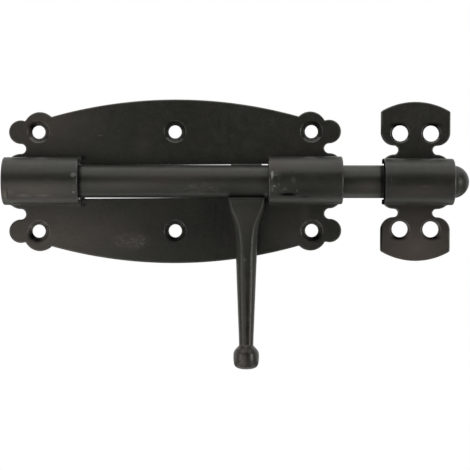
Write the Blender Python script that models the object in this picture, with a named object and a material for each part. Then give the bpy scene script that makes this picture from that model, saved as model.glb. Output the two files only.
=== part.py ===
"""Round-bar sliding bolt: pressed base plate, bolt rod, forged handle and keeper.

Frame, in metres: the bolt lies along X and is thrown towards +X, Z is up, and the
front faces -Y. The plane y = 0 is the door's surface, where the backs of the two
pressed pieces lie. The origin is the middle of the base plate's back.

Both pressed pieces are drawn as flat blanks and then bent. In a blank, x runs along
the bolt, s runs across the sheet (0 on the sleeve's crown) and w runs through it
(0 on the back face). In the bent sheet, u is the height in front of the door.
"""

import math

import bmesh
import bpy
from mathutils import Vector

# Sheet metal
SHEET_THICKNESS = 0.0025
BEND_RADIUS = 0.0010
EDGE_ROLLOVER = 0.00035

# Bolt rod
ROD_DIAMETER = 0.0160
ROD_PAST_KEEPER = 0.0076
ROD_SETBACK = 0.0020
ROD_CHAMFER = 0.0010
ROD_SETTLE_LEFT = 0.00015
ROD_SETTLE_RIGHT = -0.00050

# Base plate: overall outline
PLATE_HEIGHT = 0.0806
PLATE_ARCH_RADIUS = 0.2244
PLATE_SLEEVE_REACH_LEFT = 0.0832
PLATE_SLEEVE_REACH_RIGHT = 0.0817
PLATE_SLEEVE_START = 0.0461
PLATE_SLEEVE_CLEARANCE = 0.00095

# Base plate: lobes at each corner, placed from the sleeve's end and from the arch
PLATE_CORNER_RADIUS_LEFT = 0.00725
PLATE_CORNER_RADIUS_RIGHT = 0.00575
CREST_TO_LOBE_X = 0.0094
CREST_TO_LOBE_Z = 0.00195
CREST_SINK = 0.0036782
CREST_RADIUS = 0.0079
SIDE_LOBE_RADIUS = 0.0058
PLATE_NOTCH_RADIUS = 0.0025
VALLEY_FILLET = 0.0008

# Base plate: window behind the rod, lances at its corners, screw holes
WINDOW_HALF_HEIGHT = 0.00824
WINDOW_SKEW_RISE = 0.00026
THROAT_HALF_HEIGHT = 0.0076
THROAT_LENGTH = 0.0019
LANCE_WIDTH = 0.00006
LANCE_OVERRUN = 0.0001
PLATE_HOLE_TO_LOBE = 0.00875
PLATE_HOLE_Z = 0.0244
PLATE_HOLE_DIAMETER = 0.0066
PLATE_SINK_DIAMETER = 0.0108

# Keeper
KEEPER_GAP = 0.0198
KEEPER_Z = -0.00030
KEEPER_TURN = math.radians(0.5)
KEEPER_WIDTH = 0.0342
KEEPER_HEIGHT = 0.0784
KEEPER_ARCH_RADIUS = 0.0330
KEEPER_CORNER_RADIUS = 0.0014
KEEPER_SHOULDER_RADIUS = 0.0065
KEEPER_SHOULDER_Z = 0.0241
KEEPER_NOTCH_RADIUS = 0.0021
KEEPER_SLEEVE_REACH_LEFT = 0.0168
KEEPER_SLEEVE_REACH_RIGHT = 0.0175
KEEPER_SLEEVE_CLEARANCE = 0.0007
KEEPER_HOLE_X = 0.0076
KEEPER_HOLE_Z = 0.0236
KEEPER_HOLE_DIAMETER = 0.0079
KEEPER_SINK_DIAMETER = 0.0096

# Handle: saddle that cradles the rod from below and behind
HANDLE_GAP = 0.00225
SADDLE_CLEARANCE = 0.0003
SADDLE_THICKNESS = 0.0020
SADDLE_TOP_WIDTH = 0.0152
SADDLE_EDGE_RADIUS = 0.0005
SADDLE_START_ANGLE = -24
SADDLE_END_ANGLE = 145
DOOR_CLEARANCE = 0.0004

# Handle: fishtail, shaft and knob, measured down from the rod's axis
FLARE_WIDTH = 0.0176
FLARE_TOP_DROP = 0.0075
FLARE_END_DROP = 0.0272
SHAFT_TOP_WIDTH = 0.0104
NECK_DROP = 0.0795
NECK_WIDTH = 0.0062
FLARE_THICKNESS = 0.0100
SHAFT_TOP_THICKNESS = 0.0088
NECK_THICKNESS = 0.0064
KNOB_DIAMETER = 0.0120
KNOB_LENGTH = 0.0119
HANDLE_EDGE_RADIUS = 0.0008
KNOB_FULLNESS = 3

# Handle: width of its front and back facets and of its cheeks, as shares of the section
FLARE_FRONT_SHARE = 0.97
SHAFT_FRONT_SHARE = 0.52
FLARE_CHEEK_SHARE = 0.80
SHAFT_CHEEK_SHARE = 0.42

# Sharpest mitre of a moved outline, as the least share of its lean
MITRE_LEAN_SHARE = 0.5

# Overrun of cutting tools, and the spacing below which two points count as one
CUT_OVERRUN = 0.0010
SAME_POINT = 0.00003
FOLD_TOLERANCE = 0.0000001

# Fineness of round work
ARCH_SEGMENTS = 12
BEND_SEGMENTS = 5
ROLLOVER_SEGMENTS = 2
LOBE_SEGMENTS = 12
NOTCH_SEGMENTS = 10
VALLEY_SEGMENTS = 3
CORNER_SEGMENTS = 4
CREST_ARC_SEGMENTS = 20
HOLE_SEGMENTS = 28
ROD_SEGMENTS = 48
DOME_SEGMENTS = 10
SHAFT_STATIONS = 12
FLARE_STATIONS = 12
SADDLE_STATIONS = 26
KNOB_STATIONS = 14

# Derived sizes
ROD_RADIUS = ROD_DIAMETER / 2
PLATE_BORE_RADIUS = ROD_RADIUS + PLATE_SLEEVE_CLEARANCE
KEEPER_BORE_RADIUS = ROD_RADIUS + KEEPER_SLEEVE_CLEARANCE
SADDLE_INNER_RADIUS = ROD_RADIUS + SADDLE_CLEARANCE
SADDLE_OUTER_RADIUS = SADDLE_INNER_RADIUS + SADDLE_THICKNESS
AXIS_HEIGHT = SADDLE_OUTER_RADIUS + DOOR_CLEARANCE
KEEPER_X = PLATE_SLEEVE_REACH_RIGHT + KEEPER_GAP + KEEPER_SLEEVE_REACH_LEFT
ROD_TIP_REACH = KEEPER_X + KEEPER_SLEEVE_REACH_RIGHT + ROD_PAST_KEEPER
HANDLE_X = PLATE_SLEEVE_START - HANDLE_GAP - FLARE_WIDTH / 2
PLATE_SLEEVE_SPAN = PLATE_SLEEVE_REACH_LEFT + PLATE_SLEEVE_REACH_RIGHT
ROD_TILT = math.atan2(ROD_SETTLE_LEFT - ROD_SETTLE_RIGHT, PLATE_SLEEVE_SPAN)
ROD_MIDDLE_Z = (ROD_SETTLE_LEFT + ROD_SETTLE_RIGHT) / 2

# Colours and gloss of the black coat: colour, roughness, metallic
PLATE_COAT = ((0.020, 0.020, 0.018), 0.42, 0.0)
ROD_COAT = ((0.021, 0.021, 0.019), 0.36, 0.0)
HANDLE_COAT = ((0.019, 0.019, 0.018), 0.40, 0.0)
KEEPER_COAT = ((0.022, 0.021, 0.019), 0.42, 0.0)


def clear_scene():
    """Remove every object, so the model starts from nothing."""
    for obj in list(bpy.data.objects):
        bpy.data.objects.remove(obj)


def coat(name, look):
    """A painted-metal material from (colour, roughness, metallic)."""
    colour, roughness, metallic = look
    material = bpy.data.materials.new(name)
    material.use_nodes = True
    shader = material.node_tree.nodes["Principled BSDF"]
    shader.inputs["Base Color"].default_value = (*colour, 1.0)
    shader.inputs["Roughness"].default_value = roughness
    shader.inputs["Metallic"].default_value = metallic
    return material


def object_from_bmesh(name, bm, material=None):
    """Turn a bmesh into a linked object with outward faces and smooth shading."""
    bmesh.ops.recalc_face_normals(bm, faces=bm.faces)
    mesh = bpy.data.meshes.new(name)
    bm.to_mesh(mesh)
    bm.free()
    mesh.shade_smooth()
    mesh.set_sharp_from_angle(angle=math.radians(30))
    obj = bpy.data.objects.new(name, mesh)
    bpy.context.scene.collection.objects.link(obj)
    if material:
        mesh.materials.append(material)
    return obj


def as_cutter(obj):
    """Keep a tool out of the finished part."""
    obj.hide_render = True
    obj.display_type = "WIRE"
    return obj


def boolean(obj, tool, operation):
    """Cut or join a tool with an exact Boolean modifier."""
    modifier = obj.modifiers.new(operation.lower() + "_" + tool.name, "BOOLEAN")
    modifier.operation = operation
    modifier.solver = "EXACT"
    modifier.object = tool


# Plane geometry of the punched outlines


def arc(centre, radius, start, end, segments):
    """Points on a circle from one angle to another, in degrees, both ends included."""
    points = []
    for i in range(segments + 1):
        angle = math.radians(start + (end - start) * i / segments)
        across = centre[0] + radius * math.cos(angle)
        up = centre[1] + radius * math.sin(angle)
        points.append((across, up))
    return points


def angle_of(centre, point):
    """Direction of a point from a centre, in degrees."""
    return math.degrees(math.atan2(point[1] - centre[1], point[0] - centre[0]))


def valley(centre_a, radius_a, centre_b, radius_b, fillet):
    """Fillet circle that fills the notch between two round lobes.

    Its centre lies fillet outside both circles, left of the way from a to b. It
    touches each circle on the line that joins the two centres.
    """
    a, b = Vector(centre_a), Vector(centre_b)
    reach_a, reach_b = radius_a + fillet, radius_b + fillet
    line = b - a
    span = line.length
    along = (reach_a**2 - reach_b**2 + span**2) / (2 * span)
    aside = math.sqrt(reach_a**2 - along**2)
    left = Vector((-line.y, line.x)) / span
    centre = a + line * (along / span) + left * aside
    touch_a = a + (centre - a) * (radius_a / reach_a)
    touch_b = b + (centre - b) * (radius_b / reach_b)
    return centre, touch_a, touch_b


def fillet_arc(centre, radius, touch_a, touch_b, segments):
    """The short way round a fillet circle from one touching point to the other."""
    start, end = angle_of(centre, touch_a), angle_of(centre, touch_b)
    turn = (end - start + 180) % 360 - 180
    return arc(centre, radius, start, start + turn, segments)


def mirrored(right_quarter, left_quarter):
    """Close an outline from two quarters, each listed from the top to the right."""
    right = right_quarter + [(x, -z) for x, z in reversed(right_quarter)]
    left = left_quarter + [(x, -z) for x, z in reversed(left_quarter)]
    whole = right + [(-x, z) for x, z in reversed(left)]
    tidy = []
    for point in reversed(whole):
        if not tidy or (Vector(point) - Vector(tidy[-1])).length > SAME_POINT:
            tidy.append(point)
    if (Vector(tidy[0]) - Vector(tidy[-1])).length <= SAME_POINT:
        tidy.pop()
    return tidy


def sleeve_corner(lobe_x, notch_z, notch_radius, reach):
    """Notch beside the sleeve, and the round corner where the sleeve's end begins."""
    corner_radius = reach - lobe_x
    corner_z = notch_z - notch_radius - corner_radius
    notch = arc((lobe_x, notch_z), notch_radius, 90, 270, NOTCH_SEGMENTS)
    corner = arc((lobe_x, corner_z), corner_radius, 90, 0, LOBE_SEGMENTS)
    return notch + corner[1:]


def lobe_centres(reach, corner_radius):
    """Centres of the crest and the side lobe beside a sleeve of the given reach.

    The side lobe stands over the start of the sleeve's round corner, and the crest's
    centre lies a set depth inside the arch.
    """
    lobe_x = reach - corner_radius
    crest_x = lobe_x - CREST_TO_LOBE_X
    rise = math.sqrt((PLATE_ARCH_RADIUS - CREST_SINK) ** 2 - crest_x**2)
    crest_z = PLATE_HEIGHT / 2 - PLATE_ARCH_RADIUS + rise
    return (crest_x, crest_z), (lobe_x, crest_z - CREST_TO_LOBE_Z)


def plate_quarter(reach, corner_radius):
    """Upper right quarter of the base plate's outline, with its sleeve's reach."""
    arch_centre = (0, PLATE_HEIGHT / 2 - PLATE_ARCH_RADIUS)
    crest_centre, lobe_centre = lobe_centres(reach, corner_radius)
    high, arch_end, crest_start = valley(
        arch_centre, PLATE_ARCH_RADIUS, crest_centre, CREST_RADIUS, VALLEY_FILLET
    )
    low, crest_end, lobe_start = valley(
        crest_centre, CREST_RADIUS, lobe_centre, SIDE_LOBE_RADIUS, VALLEY_FILLET
    )
    arch_angle = angle_of(arch_centre, arch_end)
    crest_angles = angle_of(crest_centre, crest_start), angle_of(crest_centre, crest_end)
    lobe_angle = angle_of(lobe_centre, lobe_start)
    notch_z = lobe_centre[1] - SIDE_LOBE_RADIUS - PLATE_NOTCH_RADIUS
    points = arc(arch_centre, PLATE_ARCH_RADIUS, 90, arch_angle, CREST_ARC_SEGMENTS)
    points += fillet_arc(high, VALLEY_FILLET, arch_end, crest_start, VALLEY_SEGMENTS)[1:-1]
    points += arc(crest_centre, CREST_RADIUS, *crest_angles, LOBE_SEGMENTS)
    points += fillet_arc(low, VALLEY_FILLET, crest_end, lobe_start, VALLEY_SEGMENTS)[1:-1]
    points += arc(lobe_centre, SIDE_LOBE_RADIUS, lobe_angle, -90, LOBE_SEGMENTS)
    points += sleeve_corner(lobe_centre[0], notch_z, PLATE_NOTCH_RADIUS, reach)
    return points


def keeper_quarter(reach):
    """Upper right quarter of the keeper's outline, with its sleeve's reach."""
    half_width = KEEPER_WIDTH / 2
    arch_centre = Vector((0, KEEPER_HEIGHT / 2 - KEEPER_ARCH_RADIUS))
    corner_x = half_width - KEEPER_CORNER_RADIUS
    inner_radius = KEEPER_ARCH_RADIUS - KEEPER_CORNER_RADIUS
    corner_z = arch_centre.y + math.sqrt(inner_radius**2 - corner_x**2)
    corner_centre = (corner_x, corner_z)
    arch_angle = angle_of(arch_centre, corner_centre)
    shoulder_x = half_width - KEEPER_SHOULDER_RADIUS
    notch_z = KEEPER_SHOULDER_Z - KEEPER_SHOULDER_RADIUS - KEEPER_NOTCH_RADIUS
    shoulder = (shoulder_x, KEEPER_SHOULDER_Z)
    points = arc(arch_centre, KEEPER_ARCH_RADIUS, 90, arch_angle, LOBE_SEGMENTS)
    points += arc(corner_centre, KEEPER_CORNER_RADIUS, arch_angle, 0, CORNER_SEGMENTS)[1:]
    points += arc(shoulder, KEEPER_SHOULDER_RADIUS, 0, -90, LOBE_SEGMENTS)
    points += sleeve_corner(shoulder_x, notch_z, KEEPER_NOTCH_RADIUS, reach)
    return points


# The bend that turns a flat blank into wings with a sleeve between them


class SleeveBend:
    """Bend of a sheet over a sleeve with the given bore radius.

    The middle of the sheet keeps its length. From the crown outwards the sheet runs
    round a quarter circle, down a straight wall, round the foot's bend and then flat.
    """

    def __init__(self, bore_radius):
        self.bore = bore_radius
        self.outer = bore_radius + SHEET_THICKNESS
        self.middle = bore_radius + SHEET_THICKNESS / 2
        self.foot_height = SHEET_THICKNESS + BEND_RADIUS
        self.foot_z = self.outer + BEND_RADIUS
        self.foot_middle = BEND_RADIUS + SHEET_THICKNESS / 2
        self.arch_length = math.pi / 2 * self.middle
        self.wall_length = AXIS_HEIGHT - self.foot_height
        self.foot_length = math.pi / 2 * self.foot_middle
        self.wall_end = self.arch_length + self.wall_length
        self.flat_start = self.wall_end + self.foot_length
        self.take_up = self.flat_start - self.foot_z

    def spread(self, point):
        """Move a point of the front view outwards to its place on the flat blank."""
        x, z = point
        return (x, z + math.copysign(self.take_up, z))

    def place(self, x, s, w, bent):
        """World place of a blank's point, on the bent stretch or on the flat one."""
        side, run = math.copysign(1, s), abs(s)
        if run >= self.flat_start or not bent:
            u, z = w, run - self.take_up
        elif run <= self.arch_length:
            angle = run / self.middle
            u = AXIS_HEIGHT + (self.bore + w) * math.cos(angle)
            z = (self.bore + w) * math.sin(angle)
        elif run <= self.wall_end:
            u = AXIS_HEIGHT - (run - self.arch_length)
            z = self.bore + w
        else:
            angle = (run - self.wall_end) / self.foot_middle
            radius = BEND_RADIUS + SHEET_THICKNESS - w
            u = self.foot_height - radius * math.sin(angle)
            z = self.foot_z - radius * math.cos(angle)
        return Vector((x, -u, side * z))

    def fold_lines(self):
        """Values of s at which the flat blank is divided so that it can follow."""
        lines = [self.arch_length * i / ARCH_SEGMENTS for i in range(ARCH_SEGMENTS + 1)]
        lines += [
            self.wall_end + self.foot_length * i / BEND_SEGMENTS
            for i in range(BEND_SEGMENTS + 1)
        ]
        return sorted(lines + [-s for s in lines if s > 0])


def inset_loop(points, distance):
    """Move a closed outline to its left by a distance, with mitred corners."""
    count = len(points)
    moved = []
    for i, point in enumerate(points):
        here = Vector(point)
        before = (here - Vector(points[i - 1])).normalized()
        after = (Vector(points[(i + 1) % count]) - here).normalized()
        normal = Vector((-before.y - after.y, before.x + after.x)).normalized()
        lean = max(MITRE_LEAN_SHARE, normal.dot(Vector((-after.y, after.x))))
        moved.append(here + normal * (distance / lean))
    return moved


def rollover_layers():
    """Inset and height of each ring of a punched edge: square behind, round in front."""
    layers = [(0, 0)]
    for i in range(ROLLOVER_SEGMENTS + 1):
        angle = math.pi / 2 * i / ROLLOVER_SEGMENTS
        inset = EDGE_ROLLOVER * (1 - math.cos(angle))
        height = SHEET_THICKNESS - EDGE_ROLLOVER * (1 - math.sin(angle))
        layers.append((inset, height))
    return layers


def blank(loops):
    """Flat sheet from outlines that keep the metal on their left, as a closed bmesh."""
    bm = bmesh.new()
    rims = {0: [], len(rollover_layers()) - 1: []}
    for loop in loops:
        rings = []
        for inset, height in rollover_layers():
            ring = [bm.verts.new((p.x, p.y, height)) for p in inset_loop(loop, inset)]
            rings.append(ring)
        for lower, upper in zip(rings, rings[1:]):
            for i in range(len(lower)):
                j = (i + 1) % len(lower)
                bm.faces.new((lower[i], lower[j], upper[j], upper[i]))
        for level in rims:
            ring = rings[level]
            rims[level] += [bm.edges.get((ring[i - 1], ring[i])) for i in range(len(ring))]
    for rim in rims.values():
        bmesh.ops.triangle_fill(bm, edges=rim, use_beauty=True)
    return bm


def bend_blank(bm, bend, is_sleeve):
    """Divide the flat blank along the fold lines, then put each point in its place."""
    for s in bend.fold_lines():
        geometry = bm.verts[:] + bm.edges[:] + bm.faces[:]
        bmesh.ops.bisect_plane(
            bm, geom=geometry, dist=FOLD_TOLERANCE, plane_co=(0, s, 0), plane_no=(0, 1, 0)
        )
    for vert in bm.verts:
        x, s, w = vert.co
        vert.co = bend.place(x, s, w, is_sleeve(x))


def window_loop(bend):
    """Outline of the base plate's window, clockwise, with a lance at each corner.

    The window is cut a little askew: its upper right and lower left corners lie
    further from the middle than the other two.
    """
    wide = WINDOW_HALF_HEIGHT + WINDOW_SKEW_RISE
    narrow = WINDOW_HALF_HEIGHT - WINDOW_SKEW_RISE
    upper_right = window_corner(bend, wide)
    lower_right = window_corner(bend, narrow)
    lower_left = window_step(bend, wide) + window_corner(bend, THROAT_HALF_HEIGHT)
    upper_left = window_step(bend, narrow) + window_corner(bend, THROAT_HALF_HEIGHT)
    loop = [(-x, s) for x, s in reversed(upper_left)] + upper_right
    loop += [(x, -s) for x, s in reversed(lower_right)]
    return loop + [(-x, -s) for x, s in lower_left]


def window_step(bend, half_height):
    """Step at the window's left end, from its edge down to the narrower throat."""
    heights = half_height, THROAT_HALF_HEIGHT
    step_x = PLATE_SLEEVE_START - THROAT_LENGTH
    return [bend.spread((step_x, height)) for height in heights]


def window_corner(bend, edge_height):
    """Upper right corner of the window, with its lance.

    The lance runs up along the sleeve's mouth to the foot's bend, which lets the sleeve
    rise from the flat sheet.
    """
    lance_x = PLATE_SLEEVE_START - LANCE_WIDTH
    lance_top = bend.flat_start + LANCE_OVERRUN
    edge = bend.spread((lance_x, edge_height))
    return [edge, (lance_x, lance_top), (PLATE_SLEEVE_START, lance_top)]


def turned(name, profile, axis, segments, material=None):
    """Closed turned solid from (radius, station) pairs along the X or Y axis."""
    bm = bmesh.new()
    rings = []
    for radius, station in profile:
        if radius == 0:
            rings.append([bm.verts.new(turned_point(axis, station, 0, 0))])
            continue
        ring = []
        for i in range(segments):
            angle = 2 * math.pi * i / segments
            offset = radius * math.cos(angle), radius * math.sin(angle)
            ring.append(bm.verts.new(turned_point(axis, station, *offset)))
        rings.append(ring)
    for first, second in zip(rings, rings[1:]):
        for i in range(segments):
            j = (i + 1) % segments
            if len(first) == 1:
                bm.faces.new((first[0], second[i], second[j]))
            elif len(second) == 1:
                bm.faces.new((first[i], second[0], first[j]))
            else:
                bm.faces.new((first[i], second[i], second[j], first[j]))
    for end in (rings[0], rings[-1]):
        if len(end) > 1:
            bm.faces.new(end)
    return object_from_bmesh(name, bm, material)


def turned_point(axis, station, across, up):
    """A point at a station along an axis, with its two offsets from that axis."""
    if axis == "X":
        return (station, across, up)
    if axis == "Y":
        return (across, station, up)
    return (across, up, station)


def hole_tools(name, places, hole_diameter, sink_diameter):
    """Cutters for screw holes countersunk at 90 degrees from the front, as one object."""
    hole, sink = hole_diameter / 2, sink_diameter / 2
    front = -SHEET_THICKNESS
    profile = [
        (hole, CUT_OVERRUN),
        (hole, front + sink - hole),
        (sink + CUT_OVERRUN, front - CUT_OVERRUN),
    ]
    bm = bmesh.new()
    for x, z in places:
        tool = turned("tool", profile, "Y", HOLE_SEGMENTS)
        tool.data.transform(tool.matrix_world.Translation((x, 0, z)))
        bm.from_mesh(tool.data)
        bpy.data.objects.remove(tool)
    return as_cutter(object_from_bmesh(name, bm))


def plate_hole_places():
    """Screw holes: one pair in the middle, and one pair beside each end's side lobes."""
    _, left = lobe_centres(PLATE_SLEEVE_REACH_LEFT, PLATE_CORNER_RADIUS_LEFT)
    _, right = lobe_centres(PLATE_SLEEVE_REACH_RIGHT, PLATE_CORNER_RADIUS_RIGHT)
    upper = [
        (PLATE_HOLE_TO_LOBE - left[0], left[1]),
        (0, PLATE_HOLE_Z),
        (right[0] - PLATE_HOLE_TO_LOBE, right[1]),
    ]
    return [(x, row * z) for x, z in upper for row in (-1, 1)]


def make_base_plate():
    """Pressed plate: two wings, two sleeves, the window and its six screw holes."""
    bend = SleeveBend(PLATE_BORE_RADIUS)
    right = plate_quarter(PLATE_SLEEVE_REACH_RIGHT, PLATE_CORNER_RADIUS_RIGHT)
    left = plate_quarter(PLATE_SLEEVE_REACH_LEFT, PLATE_CORNER_RADIUS_LEFT)
    outline = [bend.spread(p) for p in mirrored(right, left)]
    bm = blank([outline, window_loop(bend)])
    bend_blank(bm, bend, lambda x: abs(x) > PLATE_SLEEVE_START - LANCE_WIDTH / 2)
    plate = object_from_bmesh("base_plate", bm, coat("plate_coat", PLATE_COAT))
    tools = hole_tools(
        "plate_hole_tools", plate_hole_places(), PLATE_HOLE_DIAMETER, PLATE_SINK_DIAMETER
    )
    boolean(plate, tools, "DIFFERENCE")
    return plate


def make_keeper():
    """Pressed keeper: one short sleeve between two shield-shaped wings."""
    bend = SleeveBend(KEEPER_BORE_RADIUS)
    right = keeper_quarter(KEEPER_SLEEVE_REACH_RIGHT)
    left = keeper_quarter(KEEPER_SLEEVE_REACH_LEFT)
    outline = [bend.spread(p) for p in mirrored(right, left)]
    bm = blank([outline])
    bend_blank(bm, bend, lambda x: True)
    keeper = object_from_bmesh("keeper", bm, coat("keeper_coat", KEEPER_COAT))
    places = [
        (column * KEEPER_HOLE_X, row * KEEPER_HOLE_Z) for column in (-1, 1) for row in (-1, 1)
    ]
    tools = hole_tools(
        "keeper_hole_tools", places, KEEPER_HOLE_DIAMETER, KEEPER_SINK_DIAMETER
    )
    boolean(keeper, tools, "DIFFERENCE")
    for obj in (keeper, tools):
        obj.location = (KEEPER_X, 0, KEEPER_Z)
        obj.rotation_euler = (0, KEEPER_TURN, 0)
    return keeper


def make_rod():
    """Round bar along X: chamfered left end, hemispherical right end."""
    left = ROD_SETBACK - PLATE_SLEEVE_REACH_LEFT
    shoulder = ROD_TIP_REACH - ROD_RADIUS
    profile = [(ROD_RADIUS - ROD_CHAMFER, left), (ROD_RADIUS, left + ROD_CHAMFER)]
    for i in range(DOME_SEGMENTS + 1):
        angle = math.pi / 2 * i / DOME_SEGMENTS
        radius = ROD_RADIUS * math.cos(angle) if i < DOME_SEGMENTS else 0
        profile.append((radius, shoulder + ROD_RADIUS * math.sin(angle)))
    return turned("bolt_rod", profile, "X", ROD_SEGMENTS, coat("rod_coat", ROD_COAT))


def rounded_corner(before, corner, after, radius):
    """Three points that round a corner of a section off."""
    corner = Vector(corner)
    first = corner + (Vector(before) - corner).normalized() * radius
    last = corner + (Vector(after) - corner).normalized() * radius
    middle = (first + corner * 2 + last) / 4
    return [first, middle, last]


def shaft_section(width, thickness, front_share, cheek_share, front):
    """Forged section: a rectangle with wide bevels and softened edges, front at -Y."""
    half = width / 2
    face = half * front_share
    cheek = thickness / 2 * cheek_share
    middle = thickness / 2 - front
    near, far = -front, thickness - front
    corners = [
        (face, near),
        (half, middle - cheek),
        (half, middle + cheek),
        (face, far),
        (-face, far),
        (-half, middle + cheek),
        (-half, middle - cheek),
        (-face, near),
    ]
    shortest = min(
        (Vector(a) - Vector(b)).length for a, b in zip(corners, corners[1:] + corners[:1])
    )
    radius = min(HANDLE_EDGE_RADIUS, shortest / 3)
    ring = []
    for i, corner in enumerate(corners):
        ring += rounded_corner(corners[i - 1], corner, corners[(i + 1) % 8], radius)
    return ring


def loft(name, rings, material=None):
    """Closed solid through equal rings of world points, with flat end caps."""
    bm = bmesh.new()
    rows = [[bm.verts.new(p) for p in ring] for ring in rings]
    for first, second in zip(rows, rows[1:]):
        for i in range(len(first)):
            j = (i + 1) % len(first)
            bm.faces.new((first[i], first[j], second[j], second[i]))
    bm.faces.new(rows[0])
    bm.faces.new(rows[-1])
    return object_from_bmesh(name, bm, material)


def ease(t):
    """Smooth step from 0 to 1."""
    return t * t * (3 - 2 * t)


def mix(a, b, t):
    """Value a at t = 0, value b at t = 1."""
    return a + (b - a) * t


def shaft_rings():
    """Sections of the fishtail and shaft, from the lip under the rod into the knob."""
    rings = []
    for i in range(FLARE_STATIONS + 1):
        t = i / FLARE_STATIONS
        drop = mix(FLARE_TOP_DROP, FLARE_END_DROP, t)
        sweep = (1 - t) ** 2 * (1 + 0.5 * t)
        width = mix(SHAFT_TOP_WIDTH, FLARE_WIDTH, sweep)
        front_share = mix(SHAFT_FRONT_SHARE, FLARE_FRONT_SHARE, sweep ** 0.5)
        cheek_share = mix(SHAFT_CHEEK_SHARE, FLARE_CHEEK_SHARE, sweep)
        thickness = mix(FLARE_THICKNESS, SHAFT_TOP_THICKNESS, t)
        rings.append((drop, width, thickness, front_share, cheek_share))
    root = NECK_DROP + KNOB_LENGTH / 2
    for i in range(1, SHAFT_STATIONS + 1):
        t = i / SHAFT_STATIONS
        drop = mix(FLARE_END_DROP, root, t)
        width = mix(SHAFT_TOP_WIDTH, NECK_WIDTH, t)
        thickness = mix(SHAFT_TOP_THICKNESS, NECK_THICKNESS, t)
        rings.append((drop, width, thickness, SHAFT_FRONT_SHARE, SHAFT_CHEEK_SHARE))
    return rings


def make_shaft(material):
    """Fishtail and shaft as one loft that hangs below the rod."""
    solid = []
    for drop, width, thickness, front_share, cheek_share in shaft_rings():
        front = thickness / 2
        ring = shaft_section(width, thickness, front_share, cheek_share, front)
        solid.append([(p.x, p.y, -drop) for p in ring])
    return loft("handle", solid, material)


def make_knob():
    """Upset knob at the shaft's end: a barrel with well-rounded ends."""
    centre = NECK_DROP + KNOB_LENGTH / 2
    profile = []
    for i in range(KNOB_STATIONS + 1):
        along = -math.cos(math.pi * i / KNOB_STATIONS)
        radius = KNOB_DIAMETER / 2 * (1 - abs(along) ** KNOB_FULLNESS) ** (1 / KNOB_FULLNESS)
        radius = 0 if i in (0, KNOB_STATIONS) else radius
        profile.append((radius, -centre - along * KNOB_LENGTH / 2))
    return as_cutter(turned("knob_form", profile, "Z", ROD_SEGMENTS // 2))


def make_saddle():
    """Strap bent round the rod from its lower front, behind it and up to its top."""
    rings = []
    for i in range(SADDLE_STATIONS + 1):
        t = i / SADDLE_STATIONS
        angle = math.radians(mix(SADDLE_START_ANGLE, SADDLE_END_ANGLE, t))
        width = mix(FLARE_WIDTH, SADDLE_TOP_WIDTH, ease(t))
        half = width / 2
        soft = SADDLE_EDGE_RADIUS
        inner, outer = SADDLE_INNER_RADIUS, SADDLE_OUTER_RADIUS
        section = [
            (half - soft, inner),
            (half, inner + soft),
            (half, outer - soft),
            (half - soft, outer),
            (-half + soft, outer),
            (-half, outer - soft),
            (-half, inner + soft),
            (-half + soft, inner),
        ]
        rings.append(
            [(x, r * math.sin(angle), -r * math.cos(angle)) for x, r in section]
        )
    return as_cutter(loft("saddle_form", rings))


def make_handle():
    """Forged handle: saddle, fishtail, shaft and knob in one piece, clear of the rod."""
    handle = make_shaft(coat("handle_coat", HANDLE_COAT))
    bore_half = FLARE_WIDTH / 2 + CUT_OVERRUN
    bore = [(SADDLE_INNER_RADIUS, -bore_half), (SADDLE_INNER_RADIUS, bore_half)]
    bore_tool = as_cutter(turned("rod_space", bore, "X", ROD_SEGMENTS))
    saddle, knob = make_saddle(), make_knob()
    boolean(handle, saddle, "UNION")
    boolean(handle, knob, "UNION")
    boolean(handle, bore_tool, "DIFFERENCE")
    return handle, (saddle, knob, bore_tool)


def rod_axis():
    """Empty on the rod's axis; the rod lies a little low at its right end."""
    empty = bpy.data.objects.new("rod_axis", None)
    bpy.context.scene.collection.objects.link(empty)
    empty.location = (0, -AXIS_HEIGHT, ROD_MIDDLE_Z)
    empty.rotation_euler = (0, ROD_TILT, 0)
    return empty


def build():
    """Model the whole bolt, thrown and with its handle hanging."""
    clear_scene()
    make_base_plate()
    make_keeper()
    axis = rod_axis()
    make_rod().parent = axis
    handle, tools = make_handle()
    for obj in (handle, *tools):
        obj.parent = axis
        obj.location = (HANDLE_X, 0, 0)


build()
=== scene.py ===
"""Round-bar sliding bolt in a black satin coat: pressed plates, bar and forged handle.

Metres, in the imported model's frame: the bar lies along X, Z is up and the front faces
-Y. Both pressed pieces are worked out as flat blanks, where x runs along the bar, s
across the sheet (0 on the sleeve's crown) and w through it (0 on the back), and are
then bent by one formula.
"""

import math

import bmesh
import bpy
import numpy as np
from mathutils import Matrix, Vector
from mathutils.geometry import delaunay_2d_cdt


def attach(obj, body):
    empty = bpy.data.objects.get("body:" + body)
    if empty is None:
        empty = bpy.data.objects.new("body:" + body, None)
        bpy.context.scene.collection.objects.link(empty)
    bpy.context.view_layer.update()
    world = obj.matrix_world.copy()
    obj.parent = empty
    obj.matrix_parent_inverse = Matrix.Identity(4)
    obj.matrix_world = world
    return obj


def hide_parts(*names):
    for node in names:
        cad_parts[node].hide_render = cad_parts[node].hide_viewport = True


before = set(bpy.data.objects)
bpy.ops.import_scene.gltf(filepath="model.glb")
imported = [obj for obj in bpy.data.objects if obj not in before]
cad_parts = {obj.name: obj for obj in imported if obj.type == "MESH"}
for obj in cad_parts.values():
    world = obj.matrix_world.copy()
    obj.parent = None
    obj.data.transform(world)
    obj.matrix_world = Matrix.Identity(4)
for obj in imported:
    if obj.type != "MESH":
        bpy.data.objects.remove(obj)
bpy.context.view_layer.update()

# Pressed sheet
SHEET = 0.0025
FOOT_BEND = 0.0004
ROLLOVER = 0.00075
FACE_SHARE = 0.02  # the rollover's last share, which counts as the face
BACK_BURR = 0.00010
SINK_RIM = 0.0005
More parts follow.
